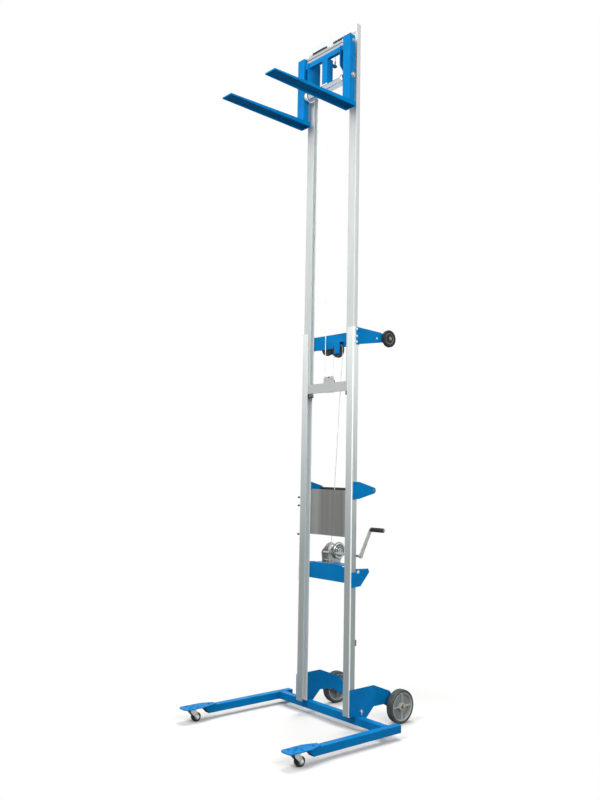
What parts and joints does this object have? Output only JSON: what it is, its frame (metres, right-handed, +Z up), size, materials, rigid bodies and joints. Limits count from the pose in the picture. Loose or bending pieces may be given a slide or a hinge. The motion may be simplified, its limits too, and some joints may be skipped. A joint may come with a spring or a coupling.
{
  "type": "material lift",
  "caption": "Hand-winched material lift, fully raised: telescoping channel mast, forks on a roller carriage, and a base frame with casters and rear wheels.",
  "frame": {"origin": "on the floor, under the middle of the lift's bounding box", "axes": "+Z up, +X to the right as seen from the forks' side, forks and feet towards -Y"},
  "size_m": [1.0132, 1.1196, 4.1616],
  "materials": {
    "black_plastic": "moulded, matt",
    "blue_paint": "gloss enamel",
    "bright_tube": "polished",
    "grey_plate": "dark satin sheet",
    "grey_rim": "grey, matt",
    "mill_metal": "mill finish, satin",
    "rubber_tyre": "dull rubber",
    "wire_rope": "laid wire",
    "zinc_plated": "zinc plated, satin"
  },
  "bodies": {
    "base_mast": {"axle_bracket_left": "blue_paint", "axle_bracket_right": "blue_paint", "cable_lift": "wire_rope", "cable_winch": "wire_rope", "cover_plate": "grey_plate", "cross_tube": "blue_paint", "foot_plate_left": "blue_paint", "foot_plate_right": "blue_paint", "handle_gusset_left": "blue_paint", "handle_gusset_right": "blue_paint", "head_channel": "blue_paint", "head_wing_left": "blue_paint", "head_wing_right": "blue_paint", "leg_left": "blue_paint", "leg_right": "blue_paint", "lock_pin_left": "zinc_plated", "lock_pin_right": "zinc_plated", "outer_rail_left": "mill_metal", "outer_rail_right": "mill_metal", "rail_pad_left": "black_plastic", "rail_pad_right": "black_plastic", "steering_handle": "black_plastic", "winch_bar": "blue_paint", "winch_frame": "zinc_plated"},
    "inner_mast": {"cable_carriage": "wire_rope", "cable_mast": "wire_rope", "inner_bottom_bar": "mill_metal", "inner_rail_left": "mill_metal", "inner_rail_right": "mill_metal", "inner_shoe_left": "black_plastic", "inner_shoe_right": "black_plastic", "inner_top_bar": "mill_metal"},
    "carriage": {"carriage_frame": "blue_paint", "carriage_lower_bar": "bright_tube", "carriage_top_bar": "bright_tube", "fork_left": "blue_paint", "fork_right": "blue_paint"},
    "lower_sheave": {"lower_sheave": "black_plastic"},
    "top_sheave": {"top_sheave": "black_plastic"},
    "head_sheave_right": {"head_sheave_right": "black_plastic"},
    "head_sheave_left": {"head_sheave_left": "black_plastic"},
    "drum": {"winch_drum": "zinc_plated"},
    "crank": {"crank_shaft": "zinc_plated", "crank_arm": "zinc_plated"},
    "grip": {"crank_grip": "black_plastic"},
    "rear_wheel_left": {"rear_tyre_left": "rubber_tyre", "rear_rim_left": "grey_rim"},
    "transport_wheel_left": {"transport_wheel_left": "rubber_tyre"},
    "caster_fork_left": {"caster_fork_left": "zinc_plated"},
    "caster_wheel_left": {"caster_wheel_left": "rubber_tyre"},
    "face_roller_left": {"face_roller_left": "zinc_plated"},
    "channel_roller_left": {"channel_roller_left": "black_plastic"},
    "rear_wheel_right": {"rear_tyre_right": "rubber_tyre", "rear_rim_right": "grey_rim"},
    "transport_wheel_right": {"transport_wheel_right": "rubber_tyre"},
    "caster_fork_right": {"caster_fork_right": "zinc_plated"},
    "caster_wheel_right": {"caster_wheel_right": "rubber_tyre"},
    "face_roller_right": {"face_roller_right": "zinc_plated"},
    "channel_roller_right": {"channel_roller_right": "black_plastic"}
  },
  "joints": [
    {"name": "inner_mast_slide", "type": "slide", "parent": "base_mast", "child": "inner_mast", "axis": [0, 0, 1], "range_m": [-1.8, 0], "deforming": ["cable_lift"]},
    {"name": "carriage_slide", "type": "slide", "parent": "inner_mast", "child": "carriage", "axis": [0, 0, 1], "range_m": [-1.72, 0], "deforming": ["cable_carriage"]},
    {"name": "drum_turn", "type": "hinge", "parent": "base_mast", "child": "drum", "pos_m": [0, 0.21509, 0.97842], "axis": [1, 0, 0], "continuous": true},
    {"name": "crank_turn", "type": "hinge", "parent": "base_mast", "child": "crank", "pos_m": [0, 0.156, 0.968], "axis": [1, 0, 0], "continuous": true},
    {"name": "grip_turn", "type": "hinge", "parent": "crank", "child": "grip", "pos_m": [0.3003, 0.23586, 1.11694], "axis": [1, 0, 0], "continuous": true},
    {"name": "lower_sheave_turn", "type": "hinge", "parent": "inner_mast", "child": "lower_sheave", "pos_m": [0, 0.118, 1.9725], "axis": [0, 1, 0], "continuous": true},
    {"name": "top_sheave_turn", "type": "hinge", "parent": "inner_mast", "child": "top_sheave", "pos_m": [-0.0134, 0.118, 4.1], "axis": [0, 1, 0], "continuous": true},
    {"name": "head_sheave_right_turn", "type": "hinge", "parent": "base_mast", "child": "head_sheave_right", "pos_m": [0.0768, 0.118, 2.17], "axis": [0, 1, 0], "continuous": true},
    {"name": "head_sheave_left_turn", "type": "hinge", "parent": "base_mast", "child": "head_sheave_left", "pos_m": [-0.06, 0.1558, 2.197], "axis": [0, 1, 0], "continuous": true},
    {"name": "rear_wheel_left_turn", "type": "hinge", "parent": "base_mast", "child": "rear_wheel_left", "pos_m": [-0.274, 0.4643, 0.0955], "axis": [1, 0, 0], "continuous": true},
    {"name": "transport_wheel_left_turn", "type": "hinge", "parent": "base_mast", "child": "transport_wheel_left", "pos_m": [-0.2458, 0.3751, 2.251], "axis": [1, 0, 0], "continuous": true},
    {"name": "caster_swivel_left", "type": "hinge", "parent": "base_mast", "child": "caster_fork_left", "pos_m": [-0.4631, -0.4932, 0.0768], "axis": [0, 0, 1], "continuous": true},
    {"name": "caster_wheel_left_turn", "type": "hinge", "parent": "caster_fork_left", "child": "caster_wheel_left", "pos_m": [-0.4631, -0.4632, 0.0255], "axis": [1, 0, 0], "continuous": true},
    {"name": "face_roller_left_turn", "type": "hinge", "parent": "carriage", "child": "face_roller_left", "pos_m": [-0.16375, 0.0623, 3.812], "axis": [1, 0, 0], "continuous": true},
    {"name": "channel_roller_left_turn", "type": "hinge", "parent": "carriage", "child": "channel_roller_left", "pos_m": [-0.189, 0.118, 4], "axis": [1, 0, 0], "continuous": true},
    {"name": "rear_wheel_right_turn", "type": "hinge", "parent": "base_mast", "child": "rear_wheel_right", "pos_m": [0.274, 0.4643, 0.0955], "axis": [1, 0, 0], "continuous": true},
    {"name": "transport_wheel_right_turn", "type": "hinge", "parent": "base_mast", "child": "transport_wheel_right", "pos_m": [0.2458, 0.3751, 2.251], "axis": [1, 0, 0], "continuous": true},
    {"name": "caster_swivel_right", "type": "hinge", "parent": "base_mast", "child": "caster_fork_right", "pos_m": [0.4631, -0.4932, 0.0768], "axis": [0, 0, 1], "continuous": true},
    {"name": "caster_wheel_right_turn", "type": "hinge", "parent": "caster_fork_right", "child": "caster_wheel_right", "pos_m": [0.4631, -0.4632, 0.0255], "axis": [1, 0, 0], "continuous": true},
    {"name": "face_roller_right_turn", "type": "hinge", "parent": "carriage", "child": "face_roller_right", "pos_m": [0.16375, 0.0623, 3.812], "axis": [1, 0, 0], "continuous": true},
    {"name": "channel_roller_right_turn", "type": "hinge", "parent": "carriage", "child": "channel_roller_right", "pos_m": [0.189, 0.118, 4], "axis": [1, 0, 0], "continuous": true}
  ],
  "couplings": [
    {"joint": "drum_turn", "follows": "inner_mast_slide", "rad_per_m": 40.323},
    {"joint": "crank_turn", "follows": "inner_mast_slide", "rad_per_m": -161.29},
    {"joint": "lower_sheave_turn", "follows": "inner_mast_slide", "rad_per_m": 26.042},
    {"joint": "head_sheave_right_turn", "follows": "inner_mast_slide", "rad_per_m": -26.042},
    {"joint": "top_sheave_turn", "follows": "carriage_slide", "rad_per_m": -40},
    {"joint": "face_roller_left_turn", "follows": "carriage_slide", "rad_per_m": -25.317},
    {"joint": "face_roller_right_turn", "follows": "carriage_slide", "rad_per_m": -25.317}
  ]
}
